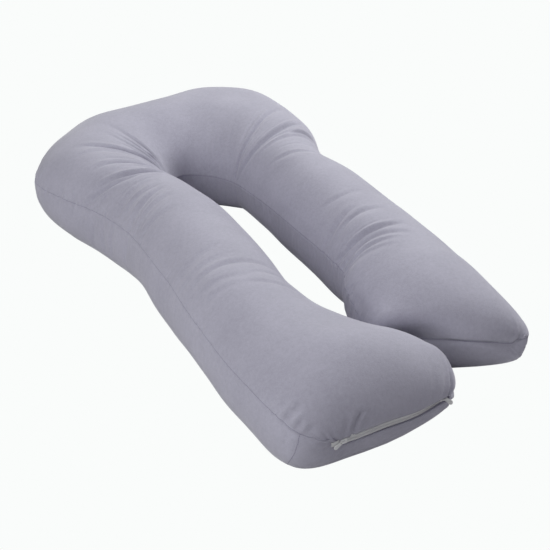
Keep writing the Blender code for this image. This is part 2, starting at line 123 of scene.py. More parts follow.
def shown_and_lit(owner, shown, lit, output):
    """One surface for the camera and another one for the light."""
    mix = add_node(owner, "ShaderNodeMixShader", _1=lit.outputs[0], _2=shown.outputs[0],
                   _0=add_node(owner, "ShaderNodeLightPath").outputs["Is Camera Ray"])
    set_inputs(owner, owner.node_tree.nodes[output], {"Surface": mix.outputs[0]})


# Seen directly, the backdrop and the floor are one bright white; they light the cloth little.
BACKDROP = "#fafcfb"
world = bpy.data.worlds.new("studio")
world.use_nodes = True
bright = world.node_tree.nodes["Background"]
set_inputs(world, bright, {"Color": linear(BACKDROP)})
dim = add_node(world, "ShaderNodeBackground", Color=linear("#f6f1ff"), Strength=0.15)
shown_and_lit(world, bright, dim, "World Output")
bpy.context.scene.world = world


def start_material(name):
    material = bpy.data.materials.new(name)
    material.use_nodes = True
    return material, material.node_tree.nodes["Principled BSDF"]


floor_material, floor_shader = start_material("matt white backdrop paper")
set_inputs(floor_material, floor_shader, {
    "Base Color": linear("#d4d4d4"), "Roughness": 1.0, "Specular IOR Level": 0.0})
white = add_node(floor_material, "ShaderNodeEmission", Color=linear(BACKDROP), Strength=1.0)
shown_and_lit(floor_material, white, floor_shader, "Material Output")
bpy.ops.mesh.primitive_plane_add(size=40)
floor = bpy.context.object
floor.name = "floor"
floor.data.materials.append(floor_material)

# ------------------------------------------------------------------ the filled bag
# Two knitted panels sewn together round the whole outline and stuffed with loose fibre. The
# bag is roundest over its crown, settles flat on what it lies on, and creases at both bends,
# where the cloth of the inner side is in the way of itself.

# A place on the bag is given by two numbers. s is the distance along the middle of the U, from
# the left foot's end round the head to the right foot's end. t runs round the section: 0 at
# the outer seam, 1 at the inner seam, the upper panel between, and the underside at 1.5 or -0.5.
Section = namedtuple("Section", "outer_x outer_y inner_x inner_y crown outer_seam inner_seam")
SECTIONS = [Section(*row) for row in (
    (-0.285, -0.700, 0.094, -0.632, 0.195, 0.118, 0.080),
    (-0.310, -0.605, 0.040, -0.510, 0.195, 0.122, 0.088),
    (-0.308, -0.445, -0.055, -0.400, 0.195, 0.122, 0.096),
    (-0.300, -0.290, -0.070, -0.285, 0.195, 0.128, 0.102),
    (-0.287, -0.115, -0.052, -0.135, 0.198, 0.132, 0.104),
    (-0.270, 0.045, -0.045, 0.020, 0.200, 0.128, 0.103),
    (-0.280, 0.200, -0.055, 0.160, 0.200, 0.122, 0.099),
    (-0.320, 0.350, -0.076, 0.240, 0.198, 0.112, 0.094),
    (-0.328, 0.485, -0.077, 0.295, 0.194, 0.100, 0.090),
    (-0.255, 0.595, -0.066, 0.345, 0.190, 0.097, 0.086),
    (-0.140, 0.680, -0.042, 0.382, 0.188, 0.096, 0.082),
    (0.010, 0.682, -0.005, 0.396, 0.192, 0.096, 0.080),
    (0.180, 0.705, 0.022, 0.382, 0.197, 0.097, 0.081),
    (0.300, 0.640, 0.052, 0.346, 0.201, 0.099, 0.084),
    (0.333, 0.495, 0.072, 0.297, 0.201, 0.104, 0.088),
    (0.315, 0.350, 0.080, 0.238, 0.199, 0.112, 0.092),
    (0.268, 0.200, 0.078, 0.155, 0.198, 0.120, 0.097),
    (0.283, 0.040, 0.072, 0.022, 0.198, 0.126, 0.105),
    (0.282, -0.125, 0.067, -0.130, 0.197, 0.130, 0.108),
    (0.281, -0.240, 0.062, -0.222, 0.196, 0.131, 0.106),
    (0.280, -0.305, 0.041, -0.268, 0.196, 0.130, 0.104),
    (0.277, -0.375, 0.022, -0.328, 0.196, 0.126, 0.100),
    (0.275, -0.455, 0.006, -0.388, 0.195, 0.119, 0.092),
    (0.275, -0.540, 0.000, -0.434, 0.195, 0.107, 0.084),
    (0.279, -0.599, 0.042, -0.438, 0.195, 0.084, 0.078),
)]
CENTRE = (0.0009, 0.0063)
WIDEST_HEIGHT = 0.080
SETTLE = 0.006
TOP_ROUNDNESS = 2.1
UNDER_ROUNDNESS = 3.05
HEAD_INNER_ROUNDNESS = 6.0                  # inside the head the bag stands nearly upright
HEAD_INNER_SPAN = (1.12, 1.34, 1.56, 1.68)
FOOT_UNDER_ROUNDNESS = 0.65
RIGHT_CORNER_ROUNDER = 1.5                  # under the right foot's outer corner
RIGHT_CORNER_SPAN, RIGHT_CORNER_UNDER = (0.10, 0.02), (-0.1, -0.3)
SEAM_TURN = 0.012
Foot = namedtuple("Foot", "slope outer_corner inner_corner inner_roundness bow "
                          "middle_rise inner_rise corner_rise")
LEFT_FOOT = Foot(0.145, 0.058, 0.062, 1.6, 0.011, 0.0, -0.010, 0.013)
RIGHT_FOOT = Foot(0.180, 0.055, 0.052, 2.0, 0.031, 0.018, 0.0, 0.009)
INNER_RISE_SPAN = (0.3, -0.5)               # places across the foot, 1 at its outer corner
CORNER_RISE_SPAN = (0.90, 1.0)


def smooth_rows(rows, steps):
    """A Catmull-Rom curve through the rows, with steps points from each row to the next."""
    padded = np.vstack([2 * rows[0] - rows[1], rows, 2 * rows[-1] - rows[-2]])
    k = np.linspace(0, 1, steps, endpoint=False)[None, :, None]
    a, b, c, d = (padded[i:len(padded) - 3 + i, None] for i in range(4))
    curve = 0.5 * (2 * b + (c - a) * k + (2 * a - 5 * b + 4 * c - d) * k**2
                   + (3 * b - a - 3 * c + d) * k**3)
    return np.vstack([curve.reshape(-1, rows.shape[1]), rows[-1:]])


def travelled(line):
    """The distance along a line of points to each of them."""
    steps = np.linalg.norm(np.diff(line, axis=0), axis=1)
    return np.concatenate([[0.0], np.cumsum(steps)])


ROWS = np.array(SECTIONS)
ROWS[:, 0:4] -= CENTRE * 2
PATH = smooth_rows(ROWS, 24)
MIDDLE = (PATH[:, 0:2] + PATH[:, 2:4]) / 2
ALONG = travelled(MIDDLE)
LENGTH = ALONG[-1]


def signed_power(value, power):
    return np.sign(value) * np.abs(value) ** power


def corner_inset(distance, radius, roundness=2.0):
    k = 1 - np.clip(distance / radius, 0, 1)
    return radius * (1 - (1 - k**roundness) ** (1 / roundness))


def eased(value, start, end):
    """0 at start and 1 at end, with a soft beginning and finish."""
    k = np.clip((value - start) / (end - start), 0, 1)
    return k * k * (3 - 2 * k)


def end_rise(foot, across):
    """How far a foot's end seam is above its sides' widest height."""
    return (foot.middle_rise * (1 - across**2)
            + foot.inner_rise * eased(across, *INNER_RISE_SPAN)
            + foot.corner_rise * eased(across, *CORNER_RISE_SPAN))


def slope_rise(foot, across, to_end):
    return end_rise(foot, across) * np.clip(1 - to_end / foot.slope, 0, 1) ** 2


def seam_angle(seam, crown):
    lift = np.clip((seam - WIDEST_HEIGHT) / (crown - WIDEST_HEIGHT), 0, 1)
    return np.arcsin(lift ** (TOP_ROUNDNESS / 2))


def section_angle(s, t):
    """The angle round the section, 0 at the outer side and 90 degrees at the crown."""
    crown, outer_seam, inner_seam = (np.interp(s, ALONG, PATH[:, k]) for k in (4, 5, 6))
    turn_in = np.sqrt(np.clip(np.minimum(s, LENGTH - s) / SEAM_TURN, 0, 1))
    outer = seam_angle(outer_seam, crown) * turn_in
    inner = seam_angle(inner_seam, crown) * turn_in
    upper = outer + t * (np.pi - inner - outer)
    under_outer = outer + t * (np.pi + 2 * outer)
    under_inner = np.pi - inner + (t - 1) * (np.pi + 2 * inner)
    return np.where(t < 0, under_outer, np.where(t > 1, under_inner, upper))


def plain_point(s, t):
    """The filled bag without folds or seams."""
    s, t = np.broadcast_arrays(np.asarray(s, float), np.asarray(t, float))
    row = [np.interp(s, ALONG, PATH[:, k]) for k in range(5)]
    outer = np.stack(row[0:2], axis=-1)
    inner = np.stack(row[2:4], axis=-1)
    crown = row[4]
    to_left, to_right = s, LENGTH - s
    slope = np.clip(np.minimum(to_left / LEFT_FOOT.slope, to_right / RIGHT_FOOT.slope), 0, 1)
    fill = np.sqrt(1 - (1 - slope) ** 2)
    outwards = outer - inner
    outwards = outwards / np.linalg.norm(outwards, axis=-1)[..., None]
    forwards = np.stack([outwards[..., 1], -outwards[..., 0]], axis=-1)
    outer_step = (corner_inset(to_left, LEFT_FOOT.outer_corner)
                  + corner_inset(to_right, RIGHT_FOOT.outer_corner))
    inner_step = sum(corner_inset(to_end, foot.inner_corner, foot.inner_roundness)
                     for foot, to_end in ((LEFT_FOOT, to_left), (RIGHT_FOOT, to_right)))
    outer = outer - outwards * outer_step[..., None]
    inner = inner + outwards * inner_step[..., None]
    half_width = np.linalg.norm(outer - inner, axis=-1) / 2
    bow = (RIGHT_FOOT.bow * np.clip(1 - to_right / RIGHT_FOOT.slope, 0, 1) ** 2
           - LEFT_FOOT.bow * np.clip(1 - to_left / LEFT_FOOT.slope, 0, 1) ** 2)
    angle = section_angle(s, t)
    in_head = np.interp(s, HEAD_INNER_SPAN, (0, 1, 1, 0)) * (t > 1)
    under = (UNDER_ROUNDNESS + (HEAD_INNER_ROUNDNESS - UNDER_ROUNDNESS) * in_head
             + RIGHT_CORNER_ROUNDER * eased(to_right, *RIGHT_CORNER_SPAN)
             * eased(t, *RIGHT_CORNER_UNDER))
    roundness = np.where(np.sin(angle) >= 0, TOP_ROUNDNESS, under)
    across = signed_power(np.cos(angle), 2 / roundness)
    height = signed_power(np.sin(angle), 2 / roundness)
    plan = ((outer + inner) / 2 + outwards * (half_width * across)[..., None]
            + forwards * (bow * (1 - across**2))[..., None])
    widest = (WIDEST_HEIGHT + slope_rise(LEFT_FOOT, across, to_left)
              + slope_rise(RIGHT_FOOT, across, to_right))
    over = widest + (crown - widest) * fill * height
    under = widest + (widest + SETTLE) * fill**FOOT_UNDER_ROUNDNESS * height
    z = np.where(height >= 0, over, np.maximum(under, 0))
    return np.concatenate([plan, z[..., None]], axis=-1)


def outward_normal(s, t):
    small_s, small_t = 0.004, 0.01
    along = plain_point(s + small_s, t) - plain_point(s - small_s, t)
    around = plain_point(s, t + small_t) - plain_point(s, t - small_t)
    normal = np.cross(around, along)
    return normal / np.maximum(np.linalg.norm(normal, axis=-1), 1e-9)[..., None]


# A crease runs across the U from (from_s, from_t) to (to_s, to_t). It bows along s in its
# middle, and is a trough of the given half-width and depth with a soft ridge on both sides.
Crease = namedtuple("Crease", "from_s from_t to_s to_t bow half_width depth")
CREASES = [Crease(*row) for row in (
    # left bend: a bundle towards the head, then the deep creases that fan to the outer seam
    (1.212, 0.98, 1.208, 0.48, -0.016, 0.0060, 0.0055),
    (1.190, 0.95, 1.185, 0.50, -0.020, 0.0040, 0.0033),
    (1.150, 0.98, 1.172, 0.46, -0.013, 0.0045, 0.0040),
    (1.110, 1.00, 1.086, 0.38, 0.005, 0.0075, 0.0099),
    (1.085, 0.78, 1.030, 0.30, 0.008, 0.0075, 0.0033),
    (0.955, 0.80, 0.960, 0.26, 0.020, 0.0085, 0.0061),
    (1.010, 0.70, 1.000, 0.40, 0.000, 0.0080, 0.0025),
    (0.925, 0.70, 0.922, 0.10, -0.016, 0.0065, 0.0099),
    (0.893, 0.42, 0.926, -0.02, -0.008, 0.0065, 0.0088),
    (0.878, 0.25, 0.900, 0.00, 0.000, 0.0050, 0.0039),
    (0.856, 0.44, 0.818, 0.00, 0.003, 0.0060, 0.0035),
    (0.826, 0.48, 0.804, 0.00, 0.000, 0.0055, 0.0040),
    (0.814, 0.47, 0.766, -0.01, -0.004, 0.0065, 0.0066),
    (0.770, 0.46, 0.733, 0.00, 0.000, 0.0060, 0.0033),
    (0.715, 0.38, 0.705, 0.00, 0.000, 0.0070, 0.0026),
    # left bend, fine creases between the deep ones
    (1.170, 0.96, 1.196, 0.60, -0.014, 0.0030, 0.0025),
    (1.130, 0.97, 1.140, 0.55, -0.006, 0.0035, 0.0026),
    (1.098, 0.96, 1.112, 0.62, 0.002, 0.0030, 0.0022),
    (1.062, 0.88, 1.058, 0.50, 0.004, 0.0035, 0.0022),
    (0.985, 0.86, 0.990, 0.62, 0.006, 0.0035, 0.0019),
    (0.940, 0.80, 0.948, 0.42, -0.004, 0.0032, 0.0025),
    (0.905, 0.60, 0.894, 0.22, -0.008, 0.0034, 0.0026),
    (0.872, 0.50, 0.850, 0.10, -0.002, 0.0030, 0.0025),
    (0.838, 0.46, 0.812, 0.12, -0.002, 0.0028, 0.0022),
    (0.795, 0.44, 0.752, 0.06, -0.003, 0.0030, 0.0025),
    (0.750, 0.36, 0.722, 0.04, 0.000, 0.0030, 0.0018),
    # left bend, below the outer seam
    (0.884, 0.00, 0.900, -0.20, 0.003, 0.0055, 0.0033),
    (0.855, 0.00, 0.852, -0.19, 0.010, 0.0055, 0.0035),
    (0.822, 0.00, 0.834, -0.17, 0.004, 0.0050, 0.0031),
    (0.761, 0.00, 0.778, -0.14, 0.000, 0.0060, 0.0026),
    # left leg
    (0.602, 0.28, 0.599, 0.00, 0.000, 0.0070, 0.0014),
    (0.534, 0.50, 0.490, -0.02, 0.000, 0.0080, 0.0023),
    (0.488, 0.52, 0.464, -0.02, 0.004, 0.0070, 0.0025),
    (0.422, 0.84, 0.438, -0.02, 0.022, 0.0080, 0.0041),
    (0.382, 0.78, 0.394, 0.42, 0.012, 0.0065, 0.0026),
    (0.393, 0.50, 0.419, -0.02, 0.008, 0.0065, 0.0028),
    (0.296, 0.78, 0.372, 0.40, 0.014, 0.0060, 0.0037),
    (0.378, 0.40, 0.381, -0.01, 0.008, 0.0070, 0.0023),
    # inner side of the head
    (1.510, 0.66, 1.530, 1.00, 0.000, 0.0120, 0.0022),
    (1.543, 0.66, 1.572, 1.00, 0.000, 0.0100, 0.0018),
    (1.588, 0.66, 1.616, 1.00, 0.000, 0.0100, 0.0018),
    # right bend
    (1.682, 0.38, 1.672, 1.00, -0.004, 0.0075, 0.0092),
    (1.655, 0.50, 1.655, 0.92, 0.000, 0.0065, 0.0034),
    (1.764, 0.26, 1.688, 0.98, 0.018, 0.0080, 0.0109),
    (1.786, 0.36, 1.742, 0.76, 0.005, 0.0050, 0.0034),
    (1.822, 0.08, 1.790, 0.46, -0.005, 0.0050, 0.0069),
    (1.832, 0.12, 1.764, 0.74, 0.008, 0.0055, 0.0039),
    (1.906, 0.30, 1.852, 0.70, 0.004, 0.0055, 0.0044),
    (1.906, 0.46, 1.842, 0.74, 0.000, 0.0055, 0.0023),
    # right bend, fine creases between the deep ones
    (1.700, 0.50, 1.688, 0.90, -0.002, 0.0032, 0.0025),
    (1.735, 0.40, 1.694, 0.88, 0.010, 0.0032, 0.0028),
    (1.775, 0.30, 1.730, 0.70, 0.008, 0.0030, 0.0025),
    (1.802, 0.28, 1.764, 0.58, 0.002, 0.0028, 0.0021),
    (1.862, 0.24, 1.826, 0.60, 0.002, 0.0030, 0.0021),
    # right leg
    (2.118, 0.40, 2.105, 0.78, 0.003, 0.0075, 0.0034),
    (2.258, 0.50, 2.232, 0.94, 0.003, 0.0030, 0.0022),
    (2.305, 0.48, 2.252, 1.00, 0.000, 0.0030, 0.0025),
    (2.200, 0.56, 2.206, 0.94, -0.010, 0.0030, 0.0020),
    (2.172, 0.56, 2.184, 1.04, 0.000, 0.0100, 0.0056),
    (2.216, 0.38, 2.218, 0.92, -0.020, 0.0080, 0.0056),
    (2.286, 0.38, 2.236, 1.02, 0.008, 0.0070, 0.0090),
    (2.328, 0.38, 2.266, 1.05, -0.006, 0.0065, 0.0062),
    (2.340, 0.46, 2.281, 1.06, 0.000, 0.0060, 0.0056),
    (2.360, 0.50, 2.297, 1.05, 0.000, 0.0060, 0.0036),
    (2.236, 0.70, 2.246, 1.00, 0.000, 0.0045, 0.0022),
    (2.430, 0.76, 2.308, 1.13, 0.005, 0.0070, 0.0016),
    # right foot, gathered into the inner seam
    (2.392, 0.94, 2.340, 1.12, 0.000, 0.0055, 0.0034),
    (2.425, 0.90, 2.395, 1.08, 0.000, 0.0055, 0.0034),
    (2.446, 0.88, 2.436, 1.06, 0.000, 0.0055, 0.0030),
    (2.478, 0.86, 2.468, 1.02, 0.000, 0.0050, 0.0034),
    (2.516, 0.78, 2.514, 0.98, 0.000, 0.0050, 0.0026),
    # left foot, by the corner of the outer seam
    (0.064, 0.14, 0.080, -0.02, 0.000, 0.0060, 0.0075),
    (0.092, 0.11, 0.101, -0.02, 0.000, 0.0045, 0.0040),
    (0.118, 0.10, 0.124, -0.02, 0.000, 0.0045, 0.0030),
    (0.046, 0.09, 0.046, 0.00, 0.000, 0.0045, 0.0050),
    (0.026, 0.11, 0.030, 0.00, 0.000, 0.0045, 0.0036),
    (0.055, -0.01, 0.062, -0.12, 0.000, 0.0055, 0.0028),
)]


HEAD_S = 1.36                   # the head's middle
STEEP, GENTLE = 1.35, 0.75      # a crease is steeper on its side towards the head
HEAD_RIDGE, FOOT_RIDGE = 0.24, 0.12     # height of the ridges beside it, by its depth
RIDGE_PLACE, RIDGE_SPREAD = 2.1, 1.3    # in half-widths


def crease_depth(s, t, creases):
    """How far the creases push the cloth in, on a grid of s rows and t columns."""
    depth = np.zeros((len(s), len(t)))
    for crease in creases:
        reach = 6 * crease.half_width + abs(crease.bow)
        low = np.searchsorted(s, min(crease.from_s, crease.to_s) - reach)
        high = np.searchsorted(s, max(crease.from_s, crease.to_s) + reach)
        k = (t - crease.from_t) / (crease.to_t - crease.from_t)
        inside = (k > 0) & (k < 1)
        k = k[inside][None, :]
        centre = (crease.from_s + (crease.to_s - crease.from_s) * k
                  + crease.bow * 4 * k * (1 - k))
        u = (s[low:high, None] - centre) / crease.half_width
        headwards = u * (1 if crease.from_s < HEAD_S else -1)
        u = np.abs(u) * np.where(headwards > 0, STEEP, GENTLE)
        trough = np.exp(-u ** 1.5)
        ridges = (np.where(headwards > 0, HEAD_RIDGE, FOOT_RIDGE)
                  * np.exp(-(u - RIDGE_PLACE) ** 2 / RIDGE_SPREAD))
        fade = np.sin(np.pi * k) ** 0.75
        depth[low:high, inside] += crease.depth * fade * (trough - ridges)
    return depth


# A pucker runs along the leg into an end seam, at place t round it, and leans by a little t
# over the first PUCKER_LEAN of its way.
Pucker = namedtuple("Pucker", "t reach half_width depth lean", defaults=(0.0,))
PUCKER_LEAN = 0.012
HELD_SHARE, HELD_REACH = 0.3, 0.006     # the seam holds a pucker shallow in its last 6 mm
LEFT_PUCKERS = [Pucker(*row) for row in (
    (0.04, 0.050, 0.0040, 0.0012), (0.09, 0.040, 0.0040, 0.0014), (0.14, 0.030, 0.0045, 0.0012),
    (0.262, 0.070, 0.0055, 0.0050, 0.060), (0.205, 0.050, 0.0060, 0.0022, 0.045),
    (0.335, 0.040, 0.0070, 0.0016, 0.04), (0.70, 0.060, 0.0070, 0.0018),
    (0.80, 0.060, 0.0070, 0.0024), (0.885, 0.085, 0.0055, 0.0070, -0.020),
    (0.945, 0.060, 0.0042, 0.0045), (-0.045, 0.030, 0.0045, 0.0014),
    (-0.105, 0.040, 0.0050, 0.0026), (-0.150, 0.045, 0.0045, 0.0026),
    (-0.285, 0.035, 0.0055, 0.0032, -0.05), (1.00, 0.075, 0.0150, 0.0110),
    (1.10, 0.050, 0.0160, 0.0060), (0.00, 0.060, 0.0080, 0.0010),
)]
RIGHT_PUCKERS = [Pucker(*row) for row in (
    (0.10, 0.030, 0.0045, 0.0020), (0.145, 0.050, 0.0050, 0.0024), (0.205, 0.045, 0.0050, 0.0022),
    (0.255, 0.035, 0.0045, 0.0013), (0.34, 0.025, 0.0045, 0.0007), (-0.10, 0.040, 0.0050, 0.0017),
    (-0.17, 0.040, 0.0050, 0.0012), (-0.24, 0.050, 0.0050, 0.0018), (-0.37, 0.050, 0.0050, 0.0014),
    (0.55, 0.025, 0.0050, 0.0006),
)]
GIRTH_PER_T = 0.42


def pucker_depth(from_end, t, puckers):
    depth = np.zeros((len(from_end), len(t)))
    for pucker in puckers:
        lean = pucker.lean * np.minimum(from_end / PUCKER_LEAN, 1)
        u = (t[None, :] - pucker.t - lean[:, None]) * GIRTH_PER_T / pucker.half_width
        trough = np.exp(-np.abs(u) ** 1.6) - 0.3 * np.exp(-(np.abs(u) - 2.0) ** 2)
        fade = (np.clip(1 - from_end / (pucker.reach * 0.8), 0, 1) ** 1.5
                * (HELD_SHARE + (1 - HELD_SHARE) * np.clip(from_end / HELD_REACH, 0, 1)))
        depth += pucker.depth * fade[:, None] * trough
    return depth


# Where the knit is eased onto the seam, short gathers stand across it: from_s to to_s, on one
# side of a seam, spacing apart, reach long in t, and strength deep.
Gathers = namedtuple("Gathers", "seam_t side from_s to_s spacing reach strength")
GATHERS = [Gathers(*row) for row in (
    (0, 1, 0.905, 1.20, 0.0095, 0.115, 0.0018),
    (0, -1, 0.86, 1.22, 0.0110, 0.10, 0.0015),
    (0, 1, 0.64, 0.92, 0.0110, 0.10, 0.0011),
    (0, 1, 0.36, 0.62, 0.0120, 0.15, 0.0013),
    (0, 1, 0.05, 0.36, 0.0150, 0.08, 0.0008),
    (0, -1, 0.05, 0.86, 0.0150, 0.14, 0.0010),
    (0, 1, 1.22, 2.53, 0.0140, 0.10, 0.0009),
    (0, -1, 1.22, 2.53, 0.0140, 0.10, 0.0009),
    (1, -1, 0.05, 1.00, 0.0150, 0.06, 0.0007),
    (1, 1, 0.05, 1.00, 0.0150, 0.10, 0.0009),
    (1, -1, 2.20, 2.52, 0.0100, 0.10, 0.0013),
    (1, 1, 2.20, 2.52, 0.0110, 0.14, 0.0015),
    (1, 1, 1.50, 2.20, 0.0180, 0.12, 0.0006),
)]
draw = np.random.default_rng(11)
gathered = []
for stretch in GATHERS:
    place = stretch.from_s
    while place < stretch.to_s:
        strength = stretch.strength * draw.uniform(0.1, 1.4)
        reach = stretch.reach * draw.uniform(0.35, 1.3)
        gathered.append(Crease(
            place, stretch.seam_t - stretch.side * 0.035,
            place + draw.uniform(-0.008, 0.014), stretch.seam_t + stretch.side * reach,
            draw.uniform(-0.002, 0.002), draw.uniform(0.26, 0.40) * stretch.spacing,
            strength))
        place += stretch.spacing * draw.uniform(0.5, 1.9)

# The sewn edge stands out as a blunt ridge, because two panels meet there at an angle, and the
# stitches sink a fine line along it.
INNER_RIDGE, OUTER_RIDGE, RIDGE_FALL = 0.0050, 0.0030, 0.016
STITCH_DEPTH, STITCH_HALF_WIDTH = 0.0016, 0.0016
ROW_SPACING = ((0.0, 0.0042), (0.35, 0.0030), (0.62, 0.0034), (0.70, 0.0021), (1.22, 0.0021),
               (1.30, 0.0046), (1.58, 0.0040), (1.64, 0.0023), (1.92, 0.0024),
               (2.00, 0.0046), (2.08, 0.0032), (2.16, 0.0024), (2.60, 0.0026))
UPPER_STEPS = 82
UNDER_STEPS = 58
FOOT_STEPS = 30
SEAM_CROWDING = 0.75


def side_panel_places(first, last, steps):
    """Places from one seam to the other, closer together by the seams."""
    k = np.linspace(0, 1, steps + 1)
    return first + (last - first) * (k - SEAM_CROWDING * np.sin(2 * np.pi * k) / (2 * np.pi))


def leg_rows():
    """Values of s: close together over the creases, and by the steep ends of the feet."""
    turn = np.linspace(0, np.pi / 2, FOOT_STEPS + 1)[1:]
    first, last = LEFT_FOOT.slope, LENGTH - RIGHT_FOOT.slope
    fine = np.linspace(first, last, 4000)
    places, spacing = zip(*ROW_SPACING)
    count = np.concatenate([[0], np.cumsum(np.diff(fine) / np.interp(fine[1:], places,
                                                                      spacing))])
    along = np.interp(np.linspace(0, count[-1], int(count[-1]) + 1), count, fine)
    return np.concatenate([LEFT_FOOT.slope * (1 - np.cos(turn)), along[1:-1],
                           LENGTH - RIGHT_FOOT.slope * (1 - np.cos(turn))[::-1]])


LUMP_WAVES, LUMP_WIDTHS, LUMP_SLOPES = 14, (0.07, 0.20), (0.002, 0.0045)


def filling_lumps(points):
    """The loose filling pushes the cloth out unevenly, a millimetre or two over a hand's
    width."""
    waves = np.random.default_rng(5)
    lumps = np.zeros(points.shape[:-1])
    for _ in range(LUMP_WAVES):
        direction = waves.normal(size=3)
        direction /= np.linalg.norm(direction)
        length = waves.uniform(*LUMP_WIDTHS)
        lumps += (waves.uniform(*LUMP_SLOPES) * length
                  * np.sin(points @ direction * 2 * np.pi / length + waves.uniform(0, 6.3)))
    return lumps


# The stuffing is packed harder into a corner, which fills out the cloth there, and is slacker
# beside it.
Bulge = namedtuple("Bulge", "s t s_reach t_reach height")
BULGES = (
    Bulge(0.155, 0.72, 0.060, 0.18, -0.0100),   # left foot, slacker before its inner corner
    Bulge(0.055, 0.85, 0.022, 0.10, 0.0040),    # left foot, inner corner
    Bulge(2.545, 0.82, 0.036, 0.14, 0.0075),    # right foot, inner corner
)
BULGE_END = 0.012               # a bulge fades out over this stretch before an end seam


def bulge_height(s, t):
    """How far the bulges push the cloth out, on a grid of s rows and t columns."""
    fade = np.clip(np.minimum(s, LENGTH - s) / BULGE_END, 0, 1)[:, None]
    return fade * sum(
        bulge.height * np.exp(-((s[:, None] - bulge.s) / bulge.s_reach) ** 2
                              - ((t[None, :] - bulge.t) / bulge.t_reach) ** 2)
        for bulge in BULGES)


rows_s = leg_rows()
upper_t = side_panel_places(0, 1, UPPER_STEPS)
under_t = side_panel_places(1, 2, UNDER_STEPS)[1:-1]
columns_t = np.concatenate([upper_t, np.where(under_t > 1.5, under_t - 2, under_t)])

plain = plain_point(rows_s[:, None], columns_t[None, :])
normal = outward_normal(rows_s[:, None], columns_t[None, :])
depth = (crease_depth(rows_s, columns_t, CREASES) + crease_depth(rows_s, columns_t, gathered)
         + pucker_depth(rows_s, columns_t, LEFT_PUCKERS)
         + pucker_depth(LENGTH - rows_s, columns_t, RIGHT_PUCKERS))
RIDGE_FROM, RIDGE_FULL = 0.024, 0.184       # from a foot's end, where the ridge grows
to_end = np.minimum(rows_s, LENGTH - rows_s)
by_end = np.clip((to_end - RIDGE_FROM) / (RIDGE_FULL - RIDGE_FROM), 0, 1)[:, None]
for seam_t, ridge in ((0.0, OUTER_RIDGE), (1.0, INNER_RIDGE)):
    from_seam = np.abs(columns_t - seam_t)[None, :] * GIRTH_PER_T
    depth -= ridge * by_end * np.exp(-from_seam / RIDGE_FALL)
    depth += STITCH_DEPTH * np.exp(-(from_seam / STITCH_HALF_WIDTH) ** 2)
depth -= bulge_height(rows_s, columns_t)
points = plain - normal * (depth - filling_lumps(plain))[..., None]
points[..., 2] = np.maximum(points[..., 2], 0)

# Then the filling swells the cloth between the seams and creases that hold it. A coarser copy
# of the bag starts a little slack and is blown up as cloth, and the fine cloth follows it.
SLACK, MOST_MOVE = 0.0008, 0.0060
HELD_BY_CREASE, HELD_BY_SEAM, HELD_BY_FLOOR, HELD_BY_END = 0.0018, 0.008, 0.004, 0.012
COARSE_ROWS, COARSE_COLUMNS = 3, 2
LAST_FRAME = 20


def held(depth_map, place):
    """How firmly each point is held, from 0 to 1."""
    by_crease = np.clip((depth_map / HELD_BY_CREASE) ** 2, 0, 1)
    from_seam = np.minimum(np.abs(columns_t), np.abs(columns_t - 1))[None, :] * GIRTH_PER_T
    by_seam = np.clip(1.5 - from_seam / HELD_BY_SEAM, 0, 1)
    by_floor = np.clip(1.5 - place[..., 2] / HELD_BY_FLOOR, 0, 1)
    by_ends = np.clip(1.5 - to_end / HELD_BY_END, 0, 1)[:, None]
    return np.maximum.reduce(np.broadcast_arrays(by_crease, by_seam, by_floor, by_ends))


def blown_up(start, firmness):
    """The grid of points after Blender's cloth has swelled it; its columns close on themselves."""
    row_count, column_count = start.shape[:2]
    index = np.arange(row_count * column_count).reshape(row_count, column_count)
    after = np.roll(index, -1, axis=1)
    quads = np.stack([index[:-1], after[:-1], after[1:], index[1:]], axis=-1).reshape(-1, 4)
    mesh = bpy.data.meshes.new("coarse bag")
    mesh.from_pydata(start.reshape(-1, 3).tolist(), [], quads.tolist())
    shape = bmesh.new()
    shape.from_mesh(mesh)
    bmesh.ops.recalc_face_normals(shape, faces=shape.faces[:])
    shape.to_mesh(mesh)
    shape.free()
    coarse = new_object("coarse bag", mesh)
    group = coarse.vertex_groups.new(name="held")
    for k, weight in enumerate(firmness.ravel().tolist()):
        group.add([k], weight, "REPLACE")
    cloth = coarse.modifiers.new("filling", "CLOTH")
    knit = cloth.settings
    knit.quality, knit.mass = 4, 0.25
    knit.tension_stiffness = knit.compression_stiffness = 5
    knit.shear_stiffness, knit.bending_stiffness = 3, 0.1
    knit.use_pressure, knit.uniform_pressure_force = True, 40
    knit.effector_weights.gravity = 0
    knit.vertex_group_mass = "held"
    cloth.point_cache.frame_start, cloth.point_cache.frame_end = 1, LAST_FRAME
    scene = bpy.context.scene
    for frame_number in range(1, LAST_FRAME + 1):
        scene.frame_set(frame_number)
    evaluated = coarse.evaluated_get(bpy.context.evaluated_depsgraph_get())
    moved = np.empty(len(evaluated.data.vertices) * 3)
    evaluated.data.vertices.foreach_get("co", moved)
    coarse.modifiers.remove(cloth)
    bpy.data.objects.remove(coarse, do_unlink=True)
    scene.frame_set(1)
    return moved.reshape(start.shape)


